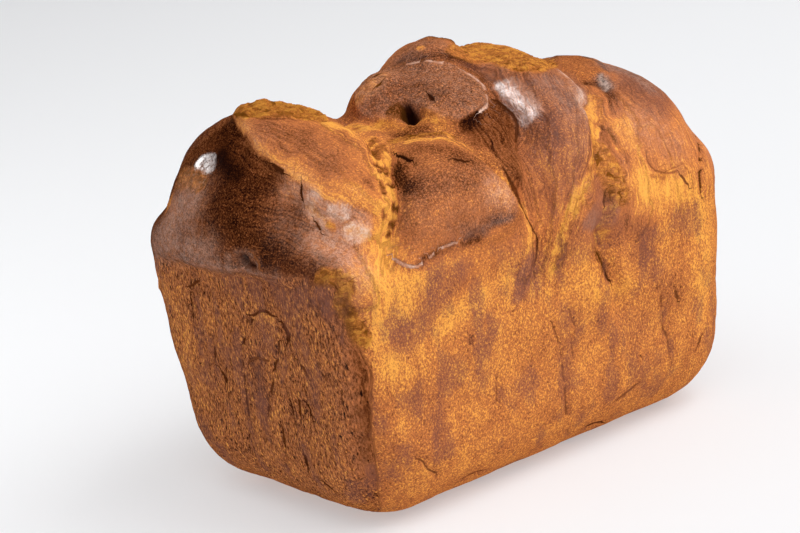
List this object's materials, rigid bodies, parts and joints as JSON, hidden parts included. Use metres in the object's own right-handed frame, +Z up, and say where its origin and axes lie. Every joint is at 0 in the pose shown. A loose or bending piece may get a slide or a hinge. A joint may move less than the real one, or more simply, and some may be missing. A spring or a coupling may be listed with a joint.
{
  "type": "brioche loaf",
  "caption": "Tall tin-baked brioche loaf with straight tapered sides, a risen lobed top, folded dough flaps, torn seams and a burst bubble.",
  "frame": {"origin": "on the surface the loaf stands on, under the centre of its outer box", "axes": "+X along the loaf's length, away from the dark near end, +Z up"},
  "size_m": [0.1748, 0.1202, 0.1363],
  "materials": {
    "browned_crust": "matte"
  },
  "bodies": {
    "root": {"brioche_loaf": "browned_crust"}
  },
  "joints": []
}
